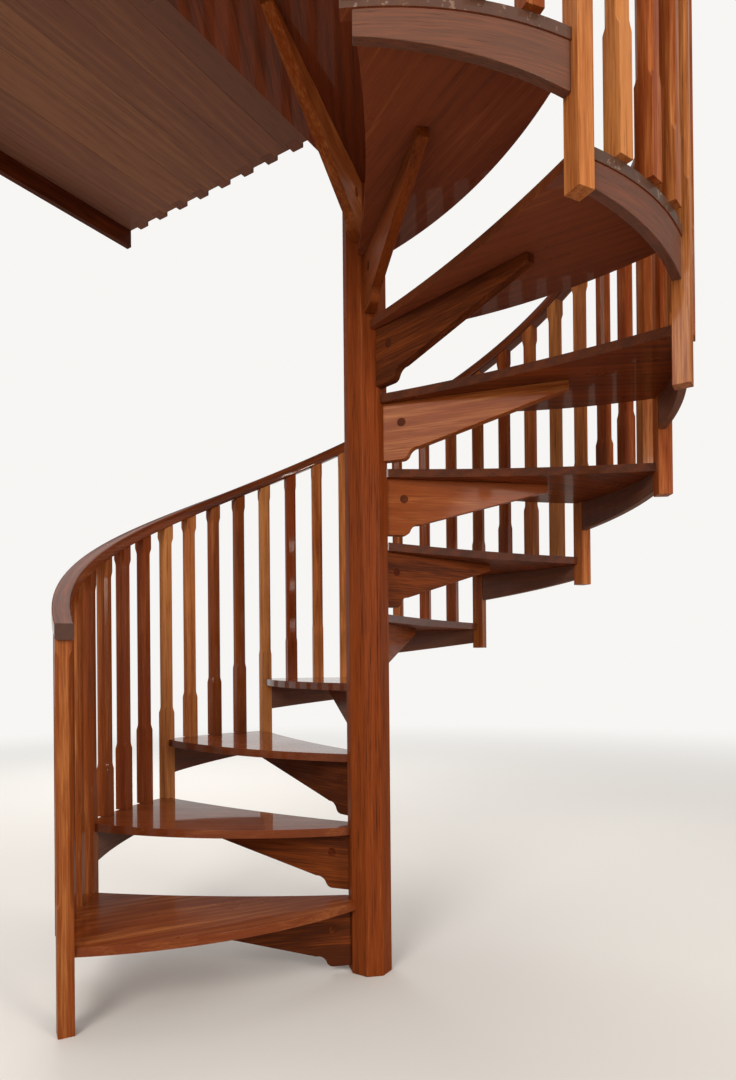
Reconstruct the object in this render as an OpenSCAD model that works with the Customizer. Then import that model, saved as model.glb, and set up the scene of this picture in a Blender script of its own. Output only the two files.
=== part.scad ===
// Timber spiral staircase: twelve rises of 30 degrees each round an octagonal newel post.
// Millimetres. The origin is the middle of the newel's foot on the floor, +Z is up.
// The flight climbs clockwise seen from above and lands on a square quarter landing in the -X -Y corner.

/* [Flight] */
// Height of one rise
rise = 220; // [180:1:220]
// Radius of the circle that the balusters stand on
rail_r = 892; // [800:1:1000]
// Thickness of a tread
tread_t = 25; // [20:1:35]
// How far the tread's edge passes the middle of the balusters
tread_lip = 6; // [2:1:15]
// Bulge of a tread's front edge over a straight line
nose_bulge = 80; // [50:2:90]
// Bulge of a tread's back edge over a straight line
back_bulge = 30; // [10:2:40]
// How far a tread's back edge runs behind the middle of the post
back_shift = 28; // [0:2:40]

/* [Newel post] */
// Width of the octagonal post across its flats
newel_w = 124; // [100:2:150]
// Height of the post's top over the landing's handrail
newel_cap = 58; // [20:2:200]
// Width of the bevel round the post's top
newel_bevel = 12; // [5:1:20]

/* [Brackets] */
// Thickness of a bracket
bracket_t = 30; // [24:1:45]
// Depth of a bracket against the post
bracket_d = 175; // [165:1:185]
// Depth of the bracket where its taper starts
bracket_neck = 144; // [138:1:150]
// Depth of a bracket's blunt end
bracket_end = 24; // [15:1:35]
// Distance from the middle of the post to the bracket's blunt end
bracket_reach = 600; // [500:5:720]
// Distance from the middle of the post to the end of the uppermost bracket
bracket_last = 720; // [650:5:740]
// Depth of the end of the uppermost bracket
bracket_tip = 10; // [8:1:20]
// Length of the flat part beside the post
bracket_flat = 56; // [40:1:70]
// Radius of the rounded corner at the end of the flat part
bracket_round = 22; // [18:1:26]
// Radius of the cove between that corner and the taper
bracket_cove = 30; // [28:1:34]
// Angle from a tread's front corner to its bracket
bracket_lag = 15.5; // [12:0.5:18]
// Diameter of the round wooden plug in a bracket's side
plug_d = 26; // [18:1:30]
// Distance of the plug from the newel post
plug_out = 56; // [40:1:80]
// Depth of the plug below the tread
plug_down = 62; // [45:1:80]

/* [Fascias] */
// Thickness of the curved board under a tread's outer edge
fascia_t = 22; // [16:1:26]
// Depth of the board at the front of the tread
fascia_front = 104; // [80:1:125]
// Depth of the board at the back of the tread
fascia_back = 52; // [40:1:75]
// Set-back of the board from the tread's edge
fascia_set = 3; // [1:0.5:5]

/* [Balusters] */
// Side of a square baluster
bal_w = 42; // [36:1:46]
// Width of the chamfer on a baluster's corners
bal_chamfer = 9.5; // [6:0.5:11]
// Length of the tongue that ends a chamfer
tongue = 25; // [15:1:35]
// Height of the lower tongue over the line of the nosings
block_low = 100; // [80:5:120]
// Length of the square block below the handrail
block_top = 30; // [20:1:50]
// How far a corner baluster hangs below the tread behind it
bal_drop = 100; // [85:1:110]
// How far the one longer corner baluster hangs
long_drop = 155; // [110:5:200]

/* [Handrail] */
// Height of the handrail's underside over the line of the nosings
rail_h = 805; // [780:5:900]
// Width of the handrail
rail_w = 48; // [44:1:60]
// Depth of the handrail, measured upright
rail_d = 42; // [36:1:50]
// Ease of the handrail's long edges
rail_ease = 3; // [1:0.5:6]
// Distance that the rail passes the first and the last baluster
rail_lead = 30; // [26:1:60]

/* [Landing] */
// How far the landing's outer sides stand beyond the circle of the balusters
land_over = 145; // [100:1:200]
// Distance from the middle of the post to the landing's open edge
land_edge = 48; // [40:1:56]
// Thickness of the landing's boards
land_t = 25; // [20:1:35]
// Depth of the bearers under the landing's edges
bearer_d = 65; // [50:1:90]
// Thickness of a bearer
bearer_t = 22; // [18:1:30]
// Distance from the post's flat to the landing's first baluster
guard_first = 60; // [40:1:80]
// How far the landing's balusters pass its open edge
guard_out = 18; // [10:1:24]
// Height of the landing rail's underside over the landing
guard_h = 860; // [850:5:900]

/* [Hidden] */
step = 30;
treads = 11;
per_tread = 4;
last_hung = 9;
long_one = 8;
fit = 0.4;
seat = 3;
boards = 8;
guard_count = 9;
plug_len = 4;
plug_proud = 1;
rail_cuts = 3;
round_fn = 96;
far = 3 * rail_r;
land_z = rise * (treads + 1);
tread_r = rail_r + tread_lip;
fascia_r = tread_r - fascia_set;
newel_af = newel_w / 2;
newel_h = land_z + guard_h + rail_d + newel_cap;
newel_c = newel_w / cos(22.5);
edge_fn = 720;
cove_ang = 20;
climb = rise / (rail_r * PI * step / 180);
rail_slope = atan(climb);
bal_half = bal_w / 2;
bal_diag = bal_half * sqrt(2);
chamfer_in = bal_chamfer / sqrt(2);
lead_deg = rail_lead / rail_r * 180 / PI;
bal_step = step / per_tread;
cut_deg = bal_step / rail_cuts;
rail_spans = treads * per_tread * rail_cuts;
first_ang = 240;
board_gap = 0.6;
land_side = rail_r + land_over;
board_w = (land_side - board_gap * (boards - 1)) / boards;
guard_y = -land_edge + guard_out - bal_half;
guard_pitch = (land_side - newel_af - guard_first) / (guard_count - 0.25);

// Angle of the front corner of tread k
function front_ang(k) = first_ang - step * (k - 1);
// Height of the nosing line at baluster j
function nosing(j) = rise * (1 + j / per_tread);
// Radius of an arc from its chord and its bulge
function arc_r(c, s) = (c * c / 4 + s * s) / (2 * s);

// Disc whose rim is a tread's curved edge from [0, -y0] to the first baluster, its bulge s towards +Y
module edge_disc(s, y0) {
  chord = sqrt(rail_r * rail_r + y0 * y0);
  r = arc_r(chord, s);
  n = [-y0, rail_r] / chord;
  c = [rail_r, -y0] / 2 - n * (r - s);
  translate(c) circle(r, $fn = edge_fn);
}

// Outline of the newel post, grown by g on every flat
module newel_flat(g = 0) {
  rotate(22.5) circle(d = newel_c + 2 * g / cos(22.5), $fn = 8);
}

// Outline of a baluster at angle a, grown by g on every side
module bal_flat(a, g = 0) {
  rotate(a) translate([rail_r, 0]) square(bal_w + 2 * g, center = true);
}

// Space behind tread k, its back corner at angle 0: curved, but straight where the landing begins
module tread_behind(k) {
  if (k < treads) edge_disc(back_bulge, back_shift);
  else translate([-far, -2 * far]) square(2 * far);
}

// Plan of tread k with its front corner at angle 0
module tread_flat(k) {
  difference() {
    intersection() {
      circle(tread_r, $fn = round_fn);
      edge_disc(nose_bulge, 0);
      polygon([[0, 0], [newel_af, newel_w], [far, newel_w], [far, -far], [0, -newel_w]]);
    }
    rotate(-step)
      difference() {
        tread_behind(k);
        if (k > last_hung) bal_flat(0, seat);
      }
    bal_flat(0, fit);
    if (k <= last_hung) bal_flat(-step, fit);
  }
}

module tread(k) {
  color([0.45, 0.2, 0.1])
    translate([0, 0, rise * k - tread_t])
      linear_extrude(tread_t)
        difference() {
          rotate(front_ang(k)) tread_flat(k);
          newel_flat();
        }
}

// Side view of a bracket, its top at zero
module bracket_side(reach, end) {
  corner = [newel_af + bracket_flat, bracket_round - bracket_d];
  cove = corner + (bracket_round + bracket_cove) * [cos(cove_ang), -sin(cove_ang)];
  difference() {
    polygon([[0, 0], [reach, 0], [reach, -end], [cove[0], -bracket_neck],
             [cove[0], -bracket_d], [0, -bracket_d]]);
    translate(cove) circle(bracket_cove, $fn = 48);
    difference() {
      polygon([corner, cove, [cove[0], -2 * bracket_d], [corner[0], -2 * bracket_d]]);
      translate(corner) circle(bracket_round, $fn = 48);
    }
  }
}

module plug_row(k) {
  rotate(front_ang(k) - bracket_lag)
    for (side = [-1, 1])
      translate([newel_af + plug_out, side * (bracket_t / 2 + plug_proud - plug_len / 2),
                 rise * k - tread_t - plug_down])
        rotate([90, 0, 0])
          children();
}

module bracket(k) {
  color([0.52, 0.27, 0.14])
    difference() {
      translate([0, 0, rise * k - tread_t])
        rotate(front_ang(k) - bracket_lag)
          rotate([90, 0, 0])
            linear_extrude(bracket_t, center = true)
              if (k < treads) bracket_side(bracket_reach, bracket_end);
              else bracket_side(bracket_last, bracket_tip);
      translate([0, 0, rise * k - tread_t - 2 * bracket_d])
        linear_extrude(3 * bracket_d) newel_flat();
      plug_row(k) cylinder(h = plug_len + fit, d = plug_d + fit, center = true, $fn = 48);
    }
}

module bracket_plugs() {
  color([0.2, 0.1, 0.06])
    for (k = [1:treads])
      plug_row(k) cylinder(h = plug_len, d = plug_d, center = true, $fn = 48);
}

// Curved board under the outer edge of tread k
module fascia(k) {
  slope = atan((fascia_front - fascia_back) / (2 * fascia_r * sin(step / 2)));
  mid = (fascia_front + fascia_back) / 2;
  color([0.42, 0.19, 0.1])
    translate([0, 0, rise * k - tread_t])
      rotate(front_ang(k) - step / 2)
        difference() {
          translate([0, 0, -fascia_front])
            rotate([0, 0, -step / 2])
              rotate_extrude(angle = step, $fn = round_fn)
                translate([fascia_r - fascia_t, 0]) square([fascia_t, fascia_front]);
          translate([rail_r, 0, -mid])
            rotate([-slope, 0, 0])
              translate([0, 0, -fascia_front]) cube([rail_r, rail_r, 2 * fascia_front], center = true);
          for (a = k > last_hung ? [step / 2] : [-step / 2, step / 2])
            rotate(a)
              translate([rail_r, 0, 0]) cube([2 * bal_w, bal_w + 2 * fit, 3 * fascia_front], center = true);
        }
}

module fascias(from, to) {
  for (k = [from:to])
    fascia(k);
}

// Square bar with stopped chamfers, its foot at z0 and its top at z1
module baluster_bar(z0, z1, low, top) {
  difference() {
    translate([-bal_half, -bal_half, z0]) cube([bal_w, bal_w, z1 - z0]);
    for (a = [45:90:315])
      rotate([0, 0, a])
        rotate([90, 0, 0])
          linear_extrude(bal_w, center = true)
            polygon([[bal_diag, low], [bal_diag - chamfer_in, low + tongue],
                     [bal_diag - chamfer_in, top - tongue], [bal_diag, top],
                     [bal_w, top], [bal_w, low]]);
  }
}

// Baluster j of the flight, from height z0 up to the handrail
module flight_baluster(j, z0) {
  z = nosing(j) + rail_h - fit;
  rise_over = bal_half * climb;
  rotate(first_ang - bal_step * j)
    translate([rail_r, 0, 0])
      difference() {
        baluster_bar(z0, z + rise_over + 1, nosing(j) + block_low, z - block_top - rise_over);
        translate([0, 0, z])
          rotate([-rail_slope, 0, 0])
            translate([0, 0, bal_w]) cube([2 * bal_w, 4 * bal_w, 2 * bal_w], center = true);
      }
}

// The first one stands on the floor and the last ones on their treads, the others hang past the treads
module corner_baluster(k) {
  hang = k == long_one ? long_drop : bal_drop;
  flight_baluster(per_tread * k, k == 0 || k > last_hung ? rise * k : rise * k - hang);
}

module corner_balusters(from, to) {
  color([0.65, 0.36, 0.18])
    for (k = [from:to])
      corner_baluster(k);
}

module tread_balusters(from, to) {
  color([0.55, 0.28, 0.14])
    for (k = [from:to])
      for (i = [1:per_tread - 1])
        flight_baluster(per_tread * (k - 1) + i, rise * k);
}

// Upright section of the handrail: distance from the middle of the rail, height
rail_sec = [[-rail_w / 2 + rail_ease, 0], [rail_w / 2 - rail_ease, 0],
            [rail_w / 2, rail_ease], [rail_w / 2, rail_d - rail_ease],
            [rail_w / 2 - rail_ease, rail_d], [-rail_w / 2 + rail_ease, rail_d],
            [-rail_w / 2, rail_d - rail_ease], [-rail_w / 2, rail_ease]];
rail_n = len(rail_sec);
// Turn of each cut across the handrail, in degrees from the first baluster
rail_turn = concat([-lead_deg], [for (i = [0:rail_spans]) i * cut_deg],
                   [treads * step + lead_deg]);

function rail_point(t, s) =
  [(rail_r + s[0]) * cos(first_ang - t), (rail_r + s[0]) * sin(first_ang - t),
   rise * (1 + t / step) + rail_h + s[1]];

module handrail() {
  last = len(rail_turn) - 1;
  color([0.4, 0.2, 0.12])
    polyhedron(
      points = [for (t = rail_turn) for (s = rail_sec) rail_point(t, s)],
      faces = concat(
        [[for (i = [0:rail_n - 1]) rail_n - 1 - i]],
        [[for (i = [0:rail_n - 1]) last * rail_n + i]],
        [for (c = [0:last - 1]) for (i = [0:rail_n - 1])
          [c * rail_n + i, c * rail_n + (i + 1) % rail_n, (c + 1) * rail_n + (i + 1) % rail_n]],
        [for (c = [0:last - 1]) for (i = [0:rail_n - 1])
          [c * rail_n + i, (c + 1) * rail_n + (i + 1) % rail_n, (c + 1) * rail_n + i]]));
}

module newel_post() {
  color([0.42, 0.2, 0.12])
    rotate(22.5) {
      cylinder(h = newel_h - newel_bevel, d = newel_c, $fn = 8);
      translate([0, 0, newel_h - newel_bevel])
        cylinder(h = newel_bevel, d1 = newel_c, d2 = newel_c - 2 * newel_bevel / cos(22.5), $fn = 8);
    }
}

// Where baluster i of the landing stands, as children
module guard_place(i) {
  translate([-newel_af - guard_first - i * guard_pitch, guard_y, 0]) children();
}

// Space that the newel and the balusters take out of the landing
module landing_clear() {
  newel_flat();
  bal_flat(first_ang - step * treads, fit);
  for (i = [0:guard_count - 1])
    guard_place(i) square(bal_w + 2 * fit, center = true);
}

module landing_boards() {
  color([0.5, 0.22, 0.1])
    translate([0, 0, land_z - land_t])
      linear_extrude(land_t)
        difference() {
          for (i = [0:boards - 1])
            translate([-land_side + i * (board_w + board_gap), -land_side])
              square([board_w, land_side - land_edge]);
          landing_clear();
        }
}

module landing_bearers() {
  color([0.3, 0.14, 0.09])
    translate([0, 0, land_z - land_t - bearer_d])
      linear_extrude(bearer_d)
        difference() {
          union() {
            translate([-land_side, -land_side]) square([bearer_t, land_side - land_edge]);
            translate([bearer_t + fit - land_side, -land_side])
              square([land_side - bearer_t - fit, bearer_t]);
            translate([-bearer_t, bearer_t + fit - land_side])
              square([bearer_t, land_side - land_edge - bearer_t - fit]);
          }
          landing_clear();
        }
}

module landing_balusters() {
  color([0.55, 0.28, 0.14])
    for (i = [0:guard_count - 1])
      guard_place(i)
        baluster_bar(land_z - land_t, land_z + guard_h, land_z + block_low + tongue,
                     land_z + guard_h - block_top);
}

module landing_handrail() {
  color([0.4, 0.2, 0.12])
    difference() {
      translate([-land_side, guard_y, land_z + guard_h])
        rotate([90, 0, 90])
          linear_extrude(land_side - newel_af * tan(22.5))
            polygon(rail_sec);
      translate([0, 0, land_z])
        linear_extrude(2 * guard_h) newel_flat();
    }
}

newel_post();
tread(1);  // tread_01
tread(2);  // tread_02
tread(3);  // tread_03
tread(4);  // tread_04
tread(5);  // tread_05
tread(6);  // tread_06
tread(7);  // tread_07
tread(8);  // tread_08
tread(9);  // tread_09
tread(10);  // tread_10
tread(11);  // tread_11
bracket(1);  // bracket_01
bracket(2);  // bracket_02
bracket(3);  // bracket_03
bracket(4);  // bracket_04
bracket(5);  // bracket_05
bracket(6);  // bracket_06
bracket(7);  // bracket_07
bracket(8);  // bracket_08
bracket(9);  // bracket_09
bracket(10);  // bracket_10
bracket(11);  // bracket_11
bracket_plugs();
fascias(1, 4);  // fascia_lower
fascias(5, 8);  // fascia_middle
fascias(9, 11);  // fascia_upper
corner_balusters(0, 3);  // corner_balusters_lower
corner_balusters(4, 7);  // corner_balusters_middle
corner_balusters(8, 11);  // corner_balusters_upper
tread_balusters(1, 4);  // tread_balusters_lower
tread_balusters(5, 8);  // tread_balusters_middle
tread_balusters(9, 11);  // tread_balusters_upper
handrail();
landing_boards();
landing_bearers();
landing_balusters();
landing_handrail();
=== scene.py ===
"""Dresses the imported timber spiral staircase: every board, bar and rail is built again with eased edges and
varnished hardwood. Metres; +Z is up and the middle of the newel post's foot is the origin."""

import math
import random

import bmesh
import bpy
from bpy.props import FloatProperty, FloatVectorProperty, IntProperty, PointerProperty
from mathutils import Matrix, Vector


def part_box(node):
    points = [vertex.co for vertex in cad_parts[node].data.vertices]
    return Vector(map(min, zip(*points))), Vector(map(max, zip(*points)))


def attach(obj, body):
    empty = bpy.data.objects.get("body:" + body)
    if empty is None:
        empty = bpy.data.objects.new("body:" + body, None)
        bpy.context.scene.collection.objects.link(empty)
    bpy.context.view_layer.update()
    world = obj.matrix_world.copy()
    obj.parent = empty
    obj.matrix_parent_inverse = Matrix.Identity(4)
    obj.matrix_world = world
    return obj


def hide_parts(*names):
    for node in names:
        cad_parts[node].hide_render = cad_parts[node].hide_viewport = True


bl_info = {
    "name": "Timber spiral staircase",
    "version": (1, 0, 0),
    "blender": (4, 5, 0),
    "location": "View3D > Sidebar > Stair",
    "description": "Builds the varnished timber pieces of a spiral staircase round its packed solids",
    "category": "Add Mesh",
}

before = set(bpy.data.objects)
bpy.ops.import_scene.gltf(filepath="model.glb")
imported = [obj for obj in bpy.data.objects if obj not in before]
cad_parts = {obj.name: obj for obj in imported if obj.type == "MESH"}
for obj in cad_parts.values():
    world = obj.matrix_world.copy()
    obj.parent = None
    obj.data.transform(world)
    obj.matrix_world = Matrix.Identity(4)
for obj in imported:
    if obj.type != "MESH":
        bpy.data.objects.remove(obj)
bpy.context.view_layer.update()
NEWEL_LOW, NEWEL_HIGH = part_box("newel_post")

TREADS = 11
# Turn of one tread and the direction of the first tread's front corner, in degrees
STEP = 30.0
FIRST_ANGLE = 240.0
# Balusters from one corner of a tread to the next
PER_TREAD = 4
# The last corner baluster that hangs below its tread, and the one that hangs lower than the others
LAST_HUNG = 9
LONG_ONE = 8
GUARD_COUNT = 9
LANDING_BOARDS = 8
# Turn from one of the post's eight flats to the next, and from the middle of a flat to its corner, in degrees
FLAT_TURN, HALF_FLAT = 45.0, 22.5
# Gap between neighbours, gap behind the last balusters and ease of a baluster's corners, in metres
FIT = 0.0004
SEAT = 0.003
ARRIS = 0.0012
# Angles between faces, in degrees, over which their edge is shaded as sharp and is eased
SHARP, CORNER = 32.0, 30.0
# Heights at which the post's long faces are cut, in metres
NEWEL_CUTS = (0.9, 1.8, 2.7)
# How finely curves are cut: a tread's long edges, its rim and its notch for the post
EDGE_POINTS, RIM_STEPS, NOTCH_STEPS = 60, 24, 12
# The same for a round plug, a bracket's corner and its cove, a fascia, and a baluster's tongue and shaft
PLUG_POINTS, ROUND_POINTS, COVE_POINTS, FASCIA_STEPS, TONGUE_STEPS, SHAFT_STEPS = 30, 9, 12, 24, 7, 4
# The same for the length of the helical rail, of the landing's rail, and for the rounding of their edges
RAIL_STEPS, LEVEL_STEPS, RAIL_ROUND = 150, 8, 4
# CAD nodes for the pieces of several treads, and for several corner balusters: name, first and last
TREAD_GROUPS = (("lower", 1, 4), ("middle", 5, 8), ("upper", 9, 11))
CORNER_GROUPS = (("lower", 0, 3), ("middle", 4, 7), ("upper", 8, 11))

# How light each corner baluster is, from 0, dark red-brown, to 1, light orange-brown
CORNER_TONES = [0.54, 0.46, 0.84, 1.0, 0.74, 0.56, 0.86, 0.6, 0.7, 0.74, 0.6, 0.55]
# The same for the three short balusters of each tread
SHORT_TONES = [(0.4, 0.32, 0.36), (0.34, 0.28, 0.3), (0.84, 0.18, 0.12), (0.12, 0.66, 0.86),
               (0.3, 0.24, 0.34), (0.4, 0.82, 0.72), (0.42, 0.36, 0.46), (0.5, 0.34, 0.6),
               (0.5, 0.48, 0.9), (0.22, 0.4, 0.5), (0.45, 0.3, 0.6)]
# The same for the brackets and for the treads, from the lowest. These are partly each board's own tone and
# partly painted light: low tones are painted shade where treads shade the brackets and on the upper treads'
# undersides, and the last bracket's high tone is a painted highlight
BRACKET_TONES = [0.04, 0.16, 0.02, 0.26, 0.26, 0.12, 0.44, 0.54, 0.08, 0.26, 0.6]
TREAD_TONES = [0.62, 0.56, 0.42, 0.34, 0.28, 0.2, 0.1, 0.1, 0.34, 0.36, 0.26]
# The same for the landing's balusters, from the post, and for its boards, from the far side. The balusters'
# tones are set low as painted shade
GUARD_TONES = [0.3, 0.5, 0.2, 0.4, 0.6, 0.25, 0.45, 0.3, 0.35]
LANDING_TONES = [0.4, 0.65, 1.0, 0.8, 0.62, 0.5, 0.3, 0.15]

# How far the grain's patterns are drawn out along the fibres: the lower, the longer
FIBRE, BROAD, HAIR = 0.032, 0.16, 0.022
# Sizes of the patterns, in waves a metre
SWEEP_SIZE, WANDER_SIZE, BAND_SIZE, STREAK_SIZE, PORE_SIZE = 9.0, 5.0, 44.0, 230.0, 420.0
RIPPLE_SIZE, WEAR_SIZE, CHIP_SIZE = 22.0, 6.0, 46.0
# Growth rings: radians a metre along the two axes across the fibres, and how far they wander
RING_PITCH = (190.0, 120.0)
RING_WANDER = 23.4
# How strongly each pattern changes the shade
SWEEP_WEIGHT, BAND_WEIGHT, RING_WEIGHT = 0.7, 0.34, 0.14
# Where the dark, the middle and the light wood stand on the scale of shades, and the ends of that scale
DARK_STOP, MIDDLE_STOP, LIGHT_STOP = 0.06, 0.46, 0.94
SHADE_ENDS = (-0.15, 1.15)
# Grain offset of a board along each axis, in metres for a seed of 1
SEED_SHIFT = (17.3, 41.9, 29.1)
# A face counts as upright where its normal's Z is below the first, and not at all above the second
UPRIGHT = (0.35, 0.8)
# Depth of the grain that is felt, in metres, and the mirror shine of the wood under its varnish
RELIEF = 0.0005
BARE_SHINE = 0.04
# How far inside a tread's rim its surface still counts as rim, in metres
RIM_DEPTH = 0.001

# The floor's reach each way and where it starts to pass into the background and has done so, in metres
FLOOR_REACH = 14.0
FLOOR_FADE = (2.2, 9.0)
# The even light's strength from the sides, as a share of that from above
LOW_SKY = 0.28
# The mirrored bands: from this height to that one, on a scale from 0 to 1, this strength passes into that one
MIRRORED_BANDS = ((0.14, 0.30, 0.85, 0.08), (0.42, 0.66, 0.08, 0.75))

# The photograph's frame and the camera found from it: pixels, metres and degrees
PHOTO_WIDE, PHOTO_HIGH = 736.0, 1080.0
FOCAL, CENTRE_X, CENTRE_Y = 724.0, 324.6, 657.4
EYE = (1.1638, -1.9237, 0.9521)
HEADING, TILT, ROLL = 34.565, 0.267, -0.513


def length(name, about, value):
    return FloatProperty(name=name, description=about, default=value, min=0.0, unit="LENGTH")


def colour(name, about, value):
    return FloatVectorProperty(name=name, description=about, default=value, size=3, min=0.0, max=1.0,
                               subtype="COLOR")


class StairSizes(bpy.types.PropertyGroup):
    rise: length("Rise", "Height of one rise", 0.22)
    ring: length("Ring", "Radius of the circle that the balusters stand on", 0.892)
    tread_thick: length("Tread thickness", "Thickness of a tread", 0.025)
    tread_lip: length("Tread lip", "How far a tread passes the middle of the balusters", 0.006)
    nose_bulge: length("Nose bulge", "Bulge of a tread's front edge over a straight line", 0.080)
    back_bulge: length("Back bulge", "Bulge of a tread's back edge over a straight line", 0.030)
    back_shift: length("Back shift", "How far the back edge runs behind the middle of the post", 0.028)
    nose_round: length("Nose rounding", "Radius of the rounding on a tread's front edge", 0.0085)
    newel_width: length("Newel width", "Width of the post across its flats", NEWEL_HIGH.x - NEWEL_LOW.x)
    newel_bevel: length("Newel bevel", "Width of the bevel round the post's top", 0.012)
    bracket_thick: length("Bracket thickness", "Thickness of a bracket", 0.030)
    bracket_deep: length("Bracket depth", "Depth of a bracket against the post", 0.175)
    bracket_neck: length("Bracket neck", "Depth where the bracket's taper starts", 0.144)
    bracket_end: length("Bracket end", "Depth of the bracket's blunt end", 0.024)
    bracket_reach: length("Bracket reach", "From the middle of the post to the bracket's end", 0.600)
    bracket_last: length("Last bracket reach", "From the middle of the post to the last bracket's end", 0.720)
    bracket_tip: length("Last bracket tip", "Depth of the end of the uppermost bracket", 0.010)
    bracket_flat: length("Bracket flat", "Length of the flat part beside the post", 0.056)
    bracket_round: length("Bracket corner", "Radius of the bracket's rounded corner", 0.022)
    bracket_cove: length("Bracket cove", "Radius of the cove beside that corner", 0.030)
    bracket_lag: FloatProperty(
        name="Bracket lag", description="Angle from a tread's front corner to its bracket",
        default=math.radians(15.5), subtype="ANGLE")
    plug_wide: length("Plug diameter", "Diameter of the round plug in a bracket's side", 0.026)
    plug_out: length("Plug distance", "Distance of the plug from the newel post", 0.056)
    plug_down: length("Plug depth", "Depth of the plug below the tread", 0.062)
    fascia_thick: length("Fascia thickness", "Thickness of the curved board", 0.022)
    fascia_front: length("Fascia front", "Depth of the board at the front of its tread", 0.104)
    fascia_back: length("Fascia back", "Depth of the board at the back of its tread", 0.052)
    fascia_set: length("Fascia set-back", "Set-back of the board from the tread's edge", 0.003)
    bar: length("Baluster side", "Side of a square baluster", 0.042)
    chamfer: length("Chamfer", "Width of the chamfer on a baluster's corners", 0.0095)
    tongue: length("Tongue", "Length of the tongue that ends a chamfer", 0.025)
    block_low: length("Lower block", "Height of the lower tongue over the line of the nosings", 0.100)
    block_top: length("Upper block", "Length of the square block below the handrail", 0.030)
    drop: length("Drop", "How far a corner baluster hangs below the tread behind it", 0.100)
    long_drop: length("Long drop", "How far the one longer corner baluster hangs", 0.155)
    rail_up: length("Rail height", "Height of the handrail's underside over the nosings", 0.805)
    rail_wide: length("Rail width", "Width of the handrail", 0.048)
    rail_deep: length("Rail depth", "Depth of the handrail, measured upright", 0.042)
    rail_ease: length("Rail rounding", "Radius of the rounding on the rail's long edges", 0.005)
    rail_lead: length("Rail lead", "Distance that the rail passes its end balusters", 0.030)
    land_over: length("Landing reach", "How far the landing stands beyond the ring", 0.145)
    land_edge: length("Landing edge", "From the middle of the post to the landing's open edge", 0.048)
    land_thick: length("Landing thickness", "Thickness of the landing's boards", 0.025)
    bearer_deep: length("Bearer depth", "Depth of the bearers under the landing", 0.065)
    bearer_thick: length("Bearer thickness", "Thickness of a bearer", 0.022)
    guard_first: length("First guard bar", "From the post's flat to the landing's first baluster", 0.060)
    guard_out: length("Guard overhang", "How far the landing's balusters pass its edge", 0.018)
    guard_up: length("Guard height", "Height of the landing rail's underside", 0.860)


class StairColours(bpy.types.PropertyGroup):
    dark: colour("Dark wood", "Deep red-brown of the darkest boards", (0.072, 0.019, 0.007))
    middle: colour("Middle wood", "Red-brown of most boards", (0.228, 0.056, 0.012))
    light: colour("Light wood", "Orange-brown of the lightest bars", (0.51, 0.21, 0.064))
    pore: colour("Pores", "Dark streaks along the grain", (0.042, 0.012, 0.006))
    warm: colour("Warm wood", "Red that the warmer boards lean to", (0.33, 0.075, 0.03))
    # Grey-brown of matt wood. It is also painted shade on the landing's balusters and the treads' undersides,
    # and a painted sheen on the fascias
    grey_and_shade: colour("Faded wood", "Greyer brown of the matt boards under the landing", (0.205, 0.128, 0.102))
    # On the treads' upright faces this colour is painted shade; on the rail's cut end it is the dark end
    # grain
    edge: colour("Edge grain", "Dark brown of treads' edges and of the rail's cut end", (0.056, 0.024, 0.014))
    rim: colour("Tread rims", "Grey-brown of the upper treads' outer rims", (0.082, 0.058, 0.045))
    chip: colour("Worn spots", "Pale wood where the varnish has worn off the rims", (0.40, 0.31, 0.24))
    gloss: FloatProperty(name="Tread gloss", description="Weight of the varnish on top of the treads",
                         default=0.8, min=0.0, max=1.0, subtype="FACTOR")
    under: FloatProperty(name="Underside gloss", description="Weight of the varnish under the treads",
                         default=0.28, min=0.0, max=1.0, subtype="FACTOR")
    seed: IntProperty(name="Seed", description="Seed of the boards' random grain", default=7, min=0)


class StairStage(bpy.types.PropertyGroup):
    floor: colour("Floor", "Colour of the pale floor", (0.75, 0.73, 0.70))
    bounce: colour("Floor bounce", "Colour that the floor throws back on to the stair", (0.46, 0.37, 0.31))
    wall: colour("Background", "Pale colour behind the staircase", (0.93, 0.92, 0.90))
    sky: FloatProperty(name="Sky light", description="Strength of the even light", default=1.0, min=0.0)
    key: FloatProperty(name="Key light", description="Power of the large soft lamp", default=225.0, min=0.0,
                       unit="POWER")
    side: FloatProperty(name="Side light", description="Power of the low lamp on the right", default=104.0,
                        min=0.0, unit="POWER")
    rim: FloatProperty(name="Rim light", description="Power of the lamp behind", default=150.0, min=0.0,
                       unit="POWER")


def sizes():
    return bpy.context.scene.stair_sizes


def front_angle(k):
    """Angle of the front corner of tread k, in degrees."""
    return FIRST_ANGLE - STEP * (k - 1)


def nosing(j):
    """Height of the line of the nosings at baluster j."""
    return sizes().rise * (1 + j / PER_TREAD)


def on_circle(radius, angle, z=0.0):
    a = math.radians(angle)
    return Vector((radius * math.cos(a), radius * math.sin(a), z))


def arc(centre, radius, start, end, count):
    """Points of an arc in a plane, its ends included, angles in degrees."""
    turn = [start + (end - start) * i / (count - 1) for i in range(count)]
    return [(centre[0] + radius * math.cos(math.radians(t)), centre[1] + radius * math.sin(math.radians(t)))
            for t in turn]


# Nodes

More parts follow.
